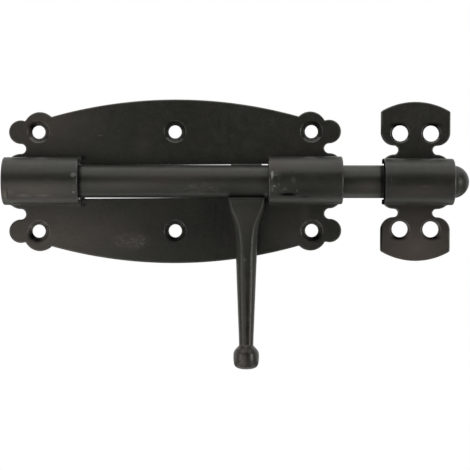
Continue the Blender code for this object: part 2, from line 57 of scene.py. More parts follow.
BORE_TO_DOOR = 0.0107

# Fineness of the sheet's mesh: along the bar, round the bends, clear of the edges
SHEET_STEP = 0.0012
BEND_STEP = 0.0004
EDGE_CLEAR = 0.0003
EDGE_RINGS = 8
SINK_RINGS = 6
HOLE_SIDES = 48
MITRE_LIMIT = 0.5
MILLIMETRES = 1000

# Points this near are one point, and heights this near are one height
SAME_POINT = 0.00002
SAME_HEIGHT = 0.0000001

# Bar
BAR_RADIUS = 0.0080
BAR_LEFT = -0.0812
BAR_TIP = 0.1434
BAR_CHAMFER = 0.0010
BAR_FACE = BAR_RADIUS - BAR_CHAMFER * 1.25
BAR_STRAIGHT_LEFT = BAR_LEFT + 0.003
BAR_SIDES = 96
BAR_RINGS = 60
TIP_RINGS = 28
CHAMFER_RINGS = 5
BAR_FACE_RING = 0.0004
BAR_POLE_RING = 0.00005
BAR_TILT = math.atan2(0.00065, 0.1649)
BAR_MIDDLE_Z = -0.000175

# Base plate
PLATE_BORE = BAR_RADIUS + 0.00114
PLATE_SLEEVE_LIFT = 0.00018
LIFT_FADE = 0.004
PLATE_TOP = 0.0403
PLATE_ARCH = 0.2244
SLEEVE_LEFT = 0.0832
SLEEVE_RIGHT = 0.0817
SLEEVE_MOUTH = 0.0460
MOUTH_MIDDLE = -0.0003
CREST = (0.06655, 0.02635)
CREST_RADIUS = 0.0079
LOBE = (0.07595, 0.0244)
LOBE_RADIUS = 0.0058
NOTCH_RADIUS = 0.0025
VALLEY = 0.0008
WINDOW_HALF = 0.00810
WINDOW_SKEW = 0.00028
THROAT_HALF = 0.0073
WINDOW_LEFT = -0.0442
LANCE = 0.00001
LANCE_PAST_BEND = 0.0001
LANCE_ROLLOVER_SHARE = 0.3
MOUTH_NIP = 0.0016
MOUTH_NIP_REACH = 0.0050
PLATE_HOLES = [(x, z) for x in (-0.0672, 0.0, 0.0672) for z in (-0.0244, 0.0244)]
PLATE_HOLE_RADIUS = 0.0032
PLATE_SINK_RADIUS = 0.0054

# Keeper, about its own middle
KEEPER_PLACE = (0.1183, -0.0003)
KEEPER_TURN = math.radians(0.5)
KEEPER_BORE = BAR_RADIUS + 0.0008
KEEPER_SLEEVE_LIFT = -0.0003
KEEPER_HALF_WIDTH = 0.0171
KEEPER_TOP = 0.0392
KEEPER_ARCH = 0.0330
KEEPER_CORNER = 0.0014
SHOULDER_RADIUS = 0.0065
SHOULDER_Z = 0.0241
KEEPER_NOTCH = 0.0021
KEEPER_SLEEVE_LEFT = 0.0168
KEEPER_SLEEVE_RIGHT = 0.0175
KEEPER_HOLES = [(x, z) for x in (-0.0076, 0.0076) for z in (-0.0236, 0.0236)]
KEEPER_HOLE_RADIUS = 0.00395
KEEPER_SINK_RADIUS = 0.0048

# Handle, measured down from the bar's axis
HANDLE_X = 0.03505
STRAP_INNER = 0.0083
STRAP_OUTER = 0.0103
STRAP_SOFT = 0.0006
STRAP_ANGLES = (-24.0, 148.0)
STRAP_HALF_WIDTHS = (0.0088, 0.0076)
STRAP_RINGS = 70
STRAP_CORNER_POINTS = 5
BAR_SPACE_REACH = 0.012
BAR_SPACE_SIDES = 128
KNOB_RINGS = 45
KNOB_SIDES = 72
KNOB_POLE_RING = 0.00004

# Edges turned further than this, in degrees, stay sharp
SHEET_SHARP = 35
BAR_SHARP = 40
HANDLE_SHARP = 32

# Sections of the fishtail and shaft: drop, half width, half width of the front facet,
# front and back of the section from the bar's axis, half thickness of the cheeks
SHAFT_SECTIONS = np.array(
    [
        (0.0075, 0.00868, 0.00850, 0.0043, 0.0050, 0.00370),
        (0.0082, 0.00878, 0.00860, 0.0050, 0.0050, 0.00400),
        (0.0100, 0.00872, 0.00825, 0.0050, 0.0050, 0.00385),
        (0.0134, 0.00840, 0.00718, 0.0050, 0.0050, 0.00350),
        (0.0160, 0.00765, 0.00602, 0.0049, 0.0049, 0.00310),
        (0.0180, 0.00695, 0.00518, 0.0048, 0.0049, 0.00275),
        (0.0203, 0.00635, 0.00435, 0.0047, 0.0048, 0.00240),
        (0.0232, 0.00595, 0.00350, 0.0046, 0.0047, 0.00215),
        (0.0266, 0.00562, 0.00287, 0.0045, 0.0046, 0.00200),
        (0.0334, 0.00522, 0.00245, 0.0043, 0.0044, 0.00185),
        (0.0392, 0.00500, 0.00235, 0.0042, 0.0043, 0.00178),
        (0.0566, 0.00434, 0.00208, 0.0038, 0.0038, 0.00160),
        (0.0683, 0.00389, 0.00188, 0.0035, 0.0035, 0.00145),
        (0.0780, 0.00353, 0.00173, 0.0032, 0.0032, 0.00132),
        (0.0855, 0.00340, 0.00165, 0.0031, 0.0031, 0.00125),
    ]
)
# Drops of the shaft's rings: close together at the lip, then even
SHAFT_DROPS = np.concatenate([np.linspace(0.0075, 0.0082, 8), np.linspace(0.0087, 0.0855, 90)])
# How far the shaft's corners are softened: drop, reach, at most a share of each side
SHAFT_SOFT = ((0.0075, 0.0006), (0.0160, 0.0010), (0.0260, 0.0011), (0.0600, 0.0024))
SHAFT_CORNER_POINTS = 6
SIDE_SHARE = 0.48
# Radius and drop of the knob
KNOB_PROFILE = np.array(
    [
        (0.0000, 0.0786),
        (0.0026, 0.0788),
        (0.00385, 0.0802),
        (0.0053, 0.0817),
        (0.0061, 0.0832),
        (0.00627, 0.0850),
        (0.00622, 0.0868),
        (0.0060, 0.0884),
        (0.0053, 0.0900),
        (0.00380, 0.0909),
        (0.00190, 0.0913),
        (0.0000, 0.0914),
    ]
)


# Plane curves of the punched outlines


def arc(centre, radius, start, end, count):
    """Circle from one angle to another, in degrees: centre + radius (cos a, sin a)."""
    angle = np.radians(np.linspace(start, end, count))
    return np.array(centre) + radius * np.column_stack([np.cos(angle), np.sin(angle)])


def angle_of(centre, point):
    """Direction of a point from a centre, in degrees."""
    return math.degrees(math.atan2(point[1] - centre[1], point[0] - centre[0]))


def valley_arc(a, radius_a, b, radius_b):
    """Fillet of two circles: its centre lies its radius outside both, left of a to b."""
    a, b = np.array(a), np.array(b)
    reach_a, reach_b = radius_a + VALLEY, radius_b + VALLEY
    line = b - a
    span = np.hypot(*line)
    along = (reach_a**2 - reach_b**2 + span**2) / (2 * span)
    aside = math.sqrt(reach_a**2 - along**2)
    centre = a + line / span * along + np.array([-line[1], line[0]]) / span * aside
    touch_a = a + (centre - a) * radius_a / reach_a
    touch_b = b + (centre - b) * radius_b / reach_b
    start, end = angle_of(centre, touch_a), angle_of(centre, touch_b)
    turn = (end - start + 180) % 360 - 180
    return touch_a, touch_b, arc(centre, VALLEY, start, start + turn, 9)[1:-1]


def sleeve_corner(lobe_x, notch_z, notch_radius, reach):
    """Round notch beside the sleeve, then the round corner of the sleeve's end."""
    corner = reach - lobe_x
    below = notch_z - notch_radius - corner
    notch = arc((lobe_x, notch_z), notch_radius, 90, 270, 26)
    return np.vstack([notch, arc((lobe_x, below), corner, 90, 0, 30)[1:]])


def plate_quarter(reach):
    """Upper right quarter of the base plate, from the top of its arch to the sleeve."""
    arch_centre = (0.0, PLATE_TOP - PLATE_ARCH)
    arch_end, crest_start, high = valley_arc(arch_centre, PLATE_ARCH, CREST, CREST_RADIUS)
    crest_end, lobe_start, low = valley_arc(CREST, CREST_RADIUS, LOBE, LOBE_RADIUS)
    crest_angles = angle_of(CREST, crest_start), angle_of(CREST, crest_end)
    notch_z = LOBE[1] - LOBE_RADIUS - NOTCH_RADIUS
    return np.vstack(
        [
            arc(arch_centre, PLATE_ARCH, 90, angle_of(arch_centre, arch_end), 70),
            high,
            arc(CREST, CREST_RADIUS, *crest_angles, 34),
            low,
            arc(LOBE, LOBE_RADIUS, angle_of(LOBE, lobe_start), -90, 36),
            sleeve_corner(LOBE[0], notch_z, NOTCH_RADIUS, reach),
        ]
    )


def keeper_quarter(reach):
    """Upper right quarter of the keeper, from the top of its arch to the sleeve."""
    arch_centre = (0.0, KEEPER_TOP - KEEPER_ARCH)
    corner_x = KEEPER_HALF_WIDTH - KEEPER_CORNER
    rise = math.sqrt((KEEPER_ARCH - KEEPER_CORNER) ** 2 - corner_x**2)
    corner = (corner_x, arch_centre[1] + rise)
    turn = angle_of(arch_centre, corner)
    shoulder = (KEEPER_HALF_WIDTH - SHOULDER_RADIUS, SHOULDER_Z)
    notch_z = SHOULDER_Z - SHOULDER_RADIUS - KEEPER_NOTCH
    return np.vstack(
        [
            arc(arch_centre, KEEPER_ARCH, 90, turn, 30),
            arc(corner, KEEPER_CORNER, turn, 0, 10)[1:],
            arc(shoulder, SHOULDER_RADIUS, 0, -90, 24),
            sleeve_corner(shoulder[0], notch_z, KEEPER_NOTCH, reach),
        ]
    )


def closed_outline(right, left):
    """Both quarters mirrored across the sleeve into one anticlockwise loop."""
    lower = [1, -1]
    whole = np.vstack([right, right[::-1] * lower, left * [-1, -1], left[::-1] * [-1, 1]])
    loop = whole[::-1]
    step = np.hypot(*(loop - np.roll(loop, 1, axis=0)).T)
    return loop[step > SAME_POINT]


def eased(t):
    """3 t^2 - 2 t^3 of t held between 0 and 1."""
    t = np.clip(t, 0, 1)
    return t * t * (3 - 2 * t)


class SleeveBend:
    """Bend of a sheet over a sleeve of a given bore radius.

    From the crown outwards the sheet's middle runs round a quarter circle, down a
    straight wall, round the foot's bend and then flat, and keeps its length. The sleeve
    sits lift off the sheet's middle line, which fades out in the flat.
    """

    def __init__(self, bore, lift, mouth=None):
        self.bore = bore
        self.lift = lift
        self.mouth = mouth
        self.middle = bore + SHEET / 2
        self.foot_height = SHEET + FOOT_BEND
        self.foot_z = bore + SHEET + FOOT_BEND
        self.foot_middle = FOOT_BEND + SHEET / 2
        self.arch_end = math.pi / 2 * self.middle
        self.wall_end = self.arch_end + BORE_TO_DOOR - self.foot_height
        self.flat_start = self.wall_end + math.pi / 2 * self.foot_middle
        self.take_up = self.flat_start - self.foot_z

    def spread(self, points):
        """Front view to blank: z moves outwards by the length that the bend takes up."""
        out = np.array(points, dtype=float)
        out[:, 1] += np.sign(out[:, 1]) * self.take_up
        return out

    def place(self, blank, bent):
        """World places of blank points (x, s, w), bent or left flat as bent says."""
        x, s, w = blank.T
        run = np.abs(s)
        arch = run / self.middle
        foot = (run - self.wall_end) / self.foot_middle
        radius = FOOT_BEND + SHEET - w
        on_arch = bent & (run <= self.arch_end)
        on_wall = bent & (run > self.arch_end) & (run <= self.wall_end)
        on_foot = bent & (run > self.wall_end) & (run < self.flat_start)
        stretches = [on_arch, on_wall, on_foot]
        height = np.select(
            stretches,
            [
                BORE_TO_DOOR + (self.bore + w) * np.cos(arch),
                BORE_TO_DOOR - (run - self.arch_end),
                self.foot_height - radius * np.sin(foot),
            ],
            w,
        )
        z = np.select(
            stretches,
            [
                (self.bore + w) * np.sin(arch),
                self.bore + w,
                self.foot_z - radius * np.cos(foot),
            ],
            run - self.take_up,
        )
        off = self.lift * (1 - eased((run - self.flat_start) / LIFT_FADE))
        z = np.sign(s) * (z - self.nip(x, run)) + np.where(bent, off, 0)
        return np.column_stack([x, -height, z])

    def nip(self, x, run):
        """Lean of the walls towards the bar beside the sleeve's mouth.

        It is MOUTH_NIP f g. f fades from the mouth over MOUTH_NIP_REACH, and g rises
        down the wall and falls again round the foot, each as 3 t^2 - 2 t^3.
        """
        if self.mouth is None:
            return np.zeros(len(x))
        depth = np.abs(x - MOUTH_MIDDLE) - self.mouth
        fade = np.where(depth < -LANCE / 2, 0, eased(1 - depth / MOUTH_NIP_REACH))
        fall = eased((run - self.arch_end) / (self.wall_end - self.arch_end))
        rise = eased((self.flat_start - run) / (self.flat_start - self.wall_end))
        return MOUTH_NIP * fade * np.minimum(fall, rise)

    def normals(self, blank, bent):
        """Outward normals of the front face at blank points."""
        run, side = np.abs(blank[:, 1]), np.sign(blank[:, 1])
        arch = np.minimum(run / self.middle, math.pi / 2)
        foot = np.clip((run - self.wall_end) / self.foot_middle, 0, math.pi / 2)
        lean = np.where(bent, arch - foot, 0.0)
        return np.column_stack([np.zeros(len(run)), -np.cos(lean), side * np.sin(lean)])

    def rows(self, step):
        """Values of s that carry inner points, so that the bent faces stay smooth."""
        arch = np.arange(0, self.arch_end, step)
        foot = np.linspace(self.wall_end, self.flat_start, 9)
        upper = np.concatenate([arch, [self.arch_end], foot])
        return np.unique(np.concatenate([-upper, upper]))


def inset(loop, distance):
    """Loop moved to its left by distances, along the mitre of its two edges."""
    before = loop - np.roll(loop, 1, axis=0)
    after = np.roll(loop, -1, axis=0) - loop
    before /= np.hypot(*before.T)[:, None]
    after /= np.hypot(*after.T)[:, None]
    left = np.column_stack([-before[:, 1] - after[:, 1], before[:, 0] + after[:, 0]])
    left /= np.hypot(*left.T)[:, None]
    lean = np.clip(left[:, 1] * after[:, 0] - left[:, 0] * after[:, 1], MITRE_LIMIT, 1)
    return loop + left * (distance / lean)[:, None]


def punched_edge():
    """(inset, height) of a punched edge: small burr behind, quarter circle in front."""
    turn = np.linspace(0, math.pi / 2, EDGE_RINGS)
    front = np.column_stack(
        [ROLLOVER * (1 - np.cos(turn)), SHEET - ROLLOVER * (1 - np.sin(turn))]
    )
    return np.vstack([[(BACK_BURR, 0.0), (0.0, BACK_BURR)], front])


def sunk_edge(hole, sink):
    """(inset, height) up a countersunk hole: wall, 45 degree cone and round rim.

    The rim's arc meets the cone and the front face with one tangent each.
    """
    wall = SHEET - (sink - hole)
    reach = SINK_RIM * math.tan(math.pi / 8)
    turn = np.linspace(math.pi / 4, math.pi / 2, SINK_RINGS)
    centre = np.array([sink - hole + reach, SHEET - SINK_RIM])
    arc_points = centre + SINK_RIM * np.column_stack([-np.cos(turn), np.sin(turn)])
    return np.vstack([[(BACK_BURR, 0.0), (0.0, BACK_BURR), (0.0, wall)], arc_points])


def ring_stack(loop, edge, share):
    """Blank points of a loop carried along an edge profile, one ring for each pair.

    share scales the inset point by point, so that torn stretches stay sharper.
    """
    rings = [
        np.column_stack([inset(loop, step * share), np.full(len(loop), height)])
        for step, height in edge
    ]
    return np.stack(rings)


def inside(points, loop):
    """Even-odd test of points against a closed loop, for whole arrays at once."""
    x, y = points[:, 0][:, None], points[:, 1][:, None]
    a, b = loop, np.roll(loop, -1, axis=0)
    crosses = (a[:, 1] > y) != (b[:, 1] > y)
    with np.errstate(divide="ignore", invalid="ignore"):
        where = a[:, 0] + (y - a[:, 1]) * (b[:, 0] - a[:, 0]) / (b[:, 1] - a[:, 1])
    return (crosses & (x < where)).sum(axis=1) % 2 == 1


def in_sheet(points, loops):
    """Which points lie inside the outline, the first loop, and outside every hole."""
    keep = inside(points, loops[0])
    for hole in loops[1:]:
        keep &= ~inside(points, hole)
    return keep


def cap(loops, grid):
    """Triangles between an outline and its holes, through extra inner points.

    The triangulation works in millimetres and keeps the loops as edges. What lies
    outside the outline or in a hole is dropped.
    """
    points = np.vstack([*loops, grid])
    start, edges = 0, []
    for loop in loops:
        index = start + np.arange(len(loop))
        edges.append(np.column_stack([index, np.roll(index, -1)]))
        start += len(loop)
    result = delaunay_2d_cdt(
        [Vector(p) for p in points * MILLIMETRES], np.vstack(edges).tolist(), [], 0, 1e-6
    )
    verts, faces = np.array(result[0]) / MILLIMETRES, np.array(result[2])
    keep = in_sheet(verts[faces].mean(axis=1), loops)
    source = np.array([origin[0] if origin else -1 for origin in result[3]])
    assert (source >= 0).all()
    return source[faces[keep]]


def inner_points(loops, rows, spans):
    """Grid points on the given rows that lie in the sheet and clear of every loop."""
    parts = [np.meshgrid(np.arange(low, high, SHEET_STEP), rows) for low, high in spans]
    grid = np.vstack([np.stack(part, -1).reshape(-1, 2) for part in parts])
    grid = grid[in_sheet(grid, loops)]
    x, y = np.vstack(loops).T
    gap = np.hypot(x - grid[:, :1], y - grid[:, 1:]).min(axis=1)
    return grid[gap > EDGE_CLEAR]


def ring_quads(index):
    """Quads between neighbouring rings, from the point numbers (levels, count)."""
    lower, upper = index[:-1], index[1:]
    rings = [lower, np.roll(lower, -1, axis=1), np.roll(upper, -1, axis=1), upper]
    return np.stack(rings, -1).reshape(-1, 4)


def sheet_blank(stacks, rows, spans):
    """Blank points, edge quads and face triangles of a sheet.

    Each stack of rings is a wall, and the back and the front face close the walls'
    first and last rings through inner points.
    """
    blank = [stack.reshape(-1, 3) for stack in stacks]
    total = 0
    numbers = []
    for stack in stacks:
        levels, count = stack.shape[:2]
        numbers.append(total + np.arange(levels * count).reshape(levels, count))
        total += levels * count
    walls = np.vstack([ring_quads(index) for index in numbers])
    caps = []
    for ring, height, order in ((0, 0.0, -1), (-1, SHEET, 1)):
        loops = [stack[ring, :, :2] for stack in stacks]
        grid = inner_points(loops, rows, spans)
        lookup = [index[ring] for index in numbers] + [total + np.arange(len(grid))]
        caps.append(np.concatenate(lookup)[cap(loops, grid)][:, ::order])
        blank.append(np.column_stack([grid, np.full(len(grid), height)]))
        total += len(grid)
    return np.vstack(blank), walls, np.vstack(caps)


def sheet_piece(name, bend, loops, edges, shares, spans, flat, material, turn=None):
    """Pressed sheet: every loop's edge carried round it, closed by two faces.

    loops are the outline and its holes, each with the metal on its left, and edges
    are their (inset, height) profiles with shares that scale the insets. What lies
    nearer to x = flat[0] than flat[1] isn't bent.
    """
    stacks = [ring_stack(*carried) for carried in zip(loops, edges, shares)]
    blank, walls, caps = sheet_blank(stacks, bend.rows(BEND_STEP), spans)
    bent = np.abs(blank[:, 0] - flat[0]) > flat[1]
    places = bend.place(blank, bent)
    normals = bend.normals(blank, bent)
    if turn is not None:
        places = places @ turn[:, :3].T + turn[:, 3]
        normals = normals @ turn[:, :3].T
    mesh = bpy.data.meshes.new(name)
    mesh.from_pydata(places.tolist(), [], walls.tolist() + caps.tolist())
    obj = finished(name, mesh, material, SHEET_SHARP)
    mark_edges(mesh, blank[:, 2], stacks, edges)
    smooth_faces(mesh, blank[:, 2], normals, len(walls))
    return obj


def mark_edges(mesh, height, stacks, edges):
    """Attributes: rim is 1 on the rolled edges, and sink on the screw holes' walls."""
    sizes = [stack.shape[0] * stack.shape[1] for stack in stacks]
    inner = len(height) - sum(sizes)
    sunk = [len(edge) != len(punched_edge()) for edge in edges]
    in_hole = np.repeat([*sunk, False], [*sizes, inner])
    punched = np.repeat([*np.logical_not(sunk), False], [*sizes, inner])
    below_front = height < SHEET - ROLLOVER * FACE_SHARE
    rim = punched & (height > SHEET - ROLLOVER) & below_front
    for label, values in (("rim", rim), ("sink", in_hole & below_front)):
        attribute = mesh.attributes.new(label, "FLOAT", "POINT")
        attribute.data.foreach_set("value", values.astype(np.float32))


def smooth_faces(mesh, height, normals, wall_count):
    """Give the corners on the sheet's two faces the bend's own normals."""
    corners = len(mesh.loops)
    point = np.empty(corners, dtype=np.int32)
    mesh.loops.foreach_get("vertex_index", point)
    own = np.empty(corners * 3, dtype=np.float32)
    mesh.corner_normals.foreach_get("vector", own)
    own = own.reshape(-1, 3)
    front = height[point] > SHEET - SAME_HEIGHT
    back = (np.arange(corners) >= wall_count * 4) & ~front
    own[front] = normals[point][front]
    own[back] = -normals[point][back]
    mesh.normals_split_custom_set(own.tolist())


def linked(name, data):
    """Object with that data, put into the scene."""
    obj = bpy.data.objects.new(name, data)
    bpy.context.scene.collection.objects.link(obj)
    return obj


def finished(name, mesh, material, sharp):
    """Piece from a mesh: one material, smooth faces, edges sharper than sharp kept."""
    mesh.validate(clean_customdata=False)
    mesh.materials.append(material)
    mesh.shade_smooth()
    mesh.set_sharp_from_angle(angle=math.radians(sharp))
    return linked(name, mesh)


def window_loop(bend):
    """Window of the base plate, clockwise, with a narrow lance up each corner."""
    top = bend.flat_start + LANCE_PAST_BEND
    lance = SLEEVE_MOUTH - LANCE

    def corner(edge, step):
        """Blank points of a corner: the throat's step if it has one, then the lance."""
        inner = [(-WINDOW_LEFT, step), (-WINDOW_LEFT, edge)] if step else []
        flat = bend.spread([*inner, (lance, edge)])
        return np.vstack([flat, [(lance, top), (SLEEVE_MOUTH, top)]])

    wide, narrow = WINDOW_HALF + WINDOW_SKEW, WINDOW_HALF - WINDOW_SKEW
    upper_left = corner(THROAT_HALF, narrow)[::-1] * [-1, 1]
    upper_right = corner(wide, 0)
    lower_right = corner(narrow, 0)[::-1] * [1, -1]
    lower_left = corner(THROAT_HALF, wide) * [-1, -1]
    loop = np.vstack([upper_left, upper_right, lower_right, lower_left])
    return subdivided(loop + [MOUTH_MIDDLE, 0])


def subdivided(loop):
    """Loop with points added on its long edges, so that bent edges stay round."""
    parts = []
    for a, b in zip(loop, np.roll(loop, -1, axis=0)):
        count = max(1, math.ceil(np.hypot(*(b - a)) / SHEET_STEP))
        parts.append(a + (b - a) * (np.arange(count) / count)[:, None])
    return np.vstack(parts)


def hole_loops(holes, radius, bend):
    """Clockwise circles on the blank, one for each screw hole."""
    return [arc(c, radius, 360, 0, HOLE_SIDES + 1)[:-1] for c in bend.spread(holes)]


# Turned and lofted pieces


def grid_mesh(name, rings):
    """Closed skin over a stack of equal rings; each end closes on one flat face."""
    levels, count = rings.shape[:2]
    index = np.arange(levels * count).reshape(levels, count)
    faces = ring_quads(index).tolist() + [index[0, ::-1].tolist(), index[-1].tolist()]
    mesh = bpy.data.meshes.new(name)
    mesh.from_pydata(rings.reshape(-1, 3).tolist(), [], faces)
    return mesh


def on_bar_axis(points):
    """From the bar's own frame, with its axis along X, to the world."""
    turn = np.array(Matrix.Rotation(BAR_TILT, 3, "Y"))
    return points @ turn.T + np.array([0.0, -BORE_TO_DOOR, BAR_MIDDLE_Z])


def turned(profile, sides):
    """Rings of (radius r, station): (station, r sin a, r cos a) for a full turn of a."""
    angle = np.linspace(0, 2 * math.pi, sides + 1)[:-1]
    radius, station = np.array(profile).T[:, :, None]
    across = radius * np.sin(angle), radius * np.cos(angle)
    return np.stack([np.broadcast_to(station, across[0].shape), *across], -1)


def bar_profile():
    """(radius, station) of the bar: rounded chamfer, straight body and half sphere."""
    soft = np.linspace(0, math.pi / 2, CHAMFER_RINGS)[1:]
    turn = np.linspace(0, math.pi / 2, TIP_RINGS)
    tip_start = BAR_TIP - BAR_RADIUS
    straight = np.linspace(BAR_STRAIGHT_LEFT, tip_start, BAR_RINGS)[:-1]
    radius = [
        [BAR_FACE_RING, BAR_FACE],
        BAR_RADIUS - BAR_CHAMFER * (1 - np.sin(soft)),
        np.full(len(straight), BAR_RADIUS),
        np.maximum(BAR_RADIUS * np.cos(turn), BAR_POLE_RING),
    ]
    station = [
        [BAR_LEFT, BAR_LEFT],
        BAR_LEFT + BAR_CHAMFER * (1 - np.cos(soft)),
        straight,
        tip_start + BAR_RADIUS * np.sin(turn),
    ]
    return np.column_stack([np.concatenate(radius), np.concatenate(station)])


def bar_piece(material):
    """Bar: its profile turned about its own axis, then set on the axis it leans along."""
    mesh = grid_mesh("bar", on_bar_axis(turned(bar_profile(), BAR_SIDES)))
    return finished("bar", mesh, material, BAR_SHARP)


def sections(pairs):
    """Sections (levels, corners, 2) from one (across, through) pair for each corner."""
    return np.stack([np.stack(pair, -1) for pair in pairs], 1)


def soft_polygon(corners, soft, count):
    """Sections (levels, corners, 2) with each corner swapped for a parabola's arc.

    The arc runs (1-t)^2 a + 2 t (1-t) corner + t^2 b, where a and b lie up to soft
    away along the two sides, and never past the middle of a side.
    """
    before = np.roll(corners, 1, axis=1) - corners
    after = np.roll(corners, -1, axis=1) - corners
    reach = []
    for side in (before, after):
        length = np.hypot(side[..., 0], side[..., 1])
        reach.append(side * (np.minimum(soft, length * SIDE_SHARE) / length)[..., None])
    t = np.linspace(0, 1, count)[:, None]
    a, b = (corners + reach[0])[:, :, None], (corners + reach[1])[:, :, None]
    middle = corners[:, :, None]
    ring = (1 - t) ** 2 * a + 2 * t * (1 - t) * middle + t**2 * b
    return ring.reshape(len(corners), -1, 2)


def shaft_mesh():
    """Fishtail and shaft: eight-sided sections, read smoothly from the table."""
    drop = SHAFT_DROPS
    columns = [smooth_curve(SHAFT_SECTIONS[:, 0], c, drop) for c in SHAFT_SECTIONS.T[1:]]
    half, facet, front, back, cheek = columns
    middle = (back - front) / 2
    corners = sections(
        [
            (facet, -front),
            (half, middle - cheek),
            (half, middle + cheek),
            (facet, back),
            (-facet, back),
            (-half, middle + cheek),
            (-half, middle - cheek),
            (-facet, -front),
        ]
    )
    soft = np.interp(drop, *zip(*SHAFT_SOFT))[:, None]
    section = soft_polygon(corners, soft, SHAFT_CORNER_POINTS)
    down = -np.broadcast_to(drop[:, None, None], (*section.shape[:2], 1))
    rings = np.concatenate([section, down], -1)
    return grid_mesh("shaft", rings + [HANDLE_X, 0, 0])


def smooth_curve(knots, values, at):
    """Cubic through the knots, each with the slope that its neighbours give."""
    slope = np.gradient(values, knots)
    index = np.clip(np.searchsorted(knots, at) - 1, 0, len(knots) - 2)
    span = knots[index + 1] - knots[index]
    t = (at - knots[index]) / span
    a, b = values[index], values[index + 1]
    m, n = slope[index] * span, slope[index + 1] * span
    return (
        (2 * t**3 - 3 * t**2 + 1) * a
        + (t**3 - 2 * t**2 + t) * m
        + (3 * t**2 - 2 * t**3) * b
        + (t**3 - t**2) * n
    )


def knob_mesh():
    """Upset knob: its profile turned about the shaft's axis."""
    knots = np.linspace(0, 1, len(KNOB_PROFILE))
    at = np.linspace(0, 1, KNOB_RINGS)
    radius = np.maximum(smooth_curve(knots, KNOB_PROFILE[:, 0], at), KNOB_POLE_RING)
    drop = smooth_curve(knots, KNOB_PROFILE[:, 1], at)
    rings = turned(np.column_stack([radius, drop]), KNOB_SIDES)
    return grid_mesh("knob", rings[..., ::-1] * [1, -1, -1] + [HANDLE_X, 0, 0])


def strap_mesh():
    """Saddle strap: a soft-edged flat section carried along a circle round the bar.

    Its half width eases, as 3 t^2 - 2 t^3, from the fishtail's to its own while the
    angle runs from the lower front, behind the bar, to the top.
    """
    t = np.linspace(0, 1, STRAP_RINGS)
    angle = np.radians(STRAP_ANGLES[0] + (STRAP_ANGLES[1] - STRAP_ANGLES[0]) * t)
    half = STRAP_HALF_WIDTHS[0] + (STRAP_HALF_WIDTHS[1] - STRAP_HALF_WIDTHS[0]) * eased(t)
    low, high = np.full(STRAP_RINGS, STRAP_INNER), np.full(STRAP_RINGS, STRAP_OUTER)
    corners = sections([(half, low), (half, high), (-half, high), (-half, low)])
    x, radius = np.moveaxis(soft_polygon(corners, STRAP_SOFT, STRAP_CORNER_POINTS), -1, 0)
    angle = angle[:, None]
    rings = [HANDLE_X + x, radius * np.sin(angle), -radius * np.cos(angle)]
    return grid_mesh("strap", np.stack(rings, -1))


def handle_piece(material):
    """Handle: shaft, knob and strap fused, with the bar's running space cut out."""
    pieces = []
    for mesh in (shaft_mesh(), knob_mesh(), strap_mesh(), bar_space_mesh()):
        outward(mesh)
        pieces.append(linked(mesh.name, mesh))
    whole = pieces[0]
    for tool, operation in zip(pieces[1:], ("UNION", "UNION", "DIFFERENCE")):
        modifier = whole.modifiers.new(tool.name, "BOOLEAN")
        modifier.object, modifier.operation, modifier.solver = tool, operation, "EXACT"
    bpy.context.view_layer.update()
    cut = whole.evaluated_get(bpy.context.evaluated_depsgraph_get())
    mesh = bpy.data.meshes.new_from_object(cut)
    for obj in pieces:
        bpy.data.objects.remove(obj)
    place = np.empty(len(mesh.vertices) * 3)
    mesh.vertices.foreach_get("co", place)
    mesh.vertices.foreach_set("co", on_bar_axis(place.reshape(-1, 3)).ravel())
    mesh.materials.clear()
    return finished("forged_handle", mesh, material, HANDLE_SHARP)


def bar_space_mesh():
    """Cylinder of the strap's inner radius, a little longer than the handle is wide."""
    ends = [(STRAP_INNER, HANDLE_X + end) for end in (-BAR_SPACE_REACH, BAR_SPACE_REACH)]
    return grid_mesh("bar_space", turned(ends, BAR_SPACE_SIDES))


def outward(mesh):
    """Turn a closed mesh's faces outwards."""
    bm = bmesh.new()
    bm.from_mesh(mesh)
    bmesh.ops.recalc_face_normals(bm, faces=bm.faces)
    bm.to_mesh(mesh)
    bm.free()


# Finishes


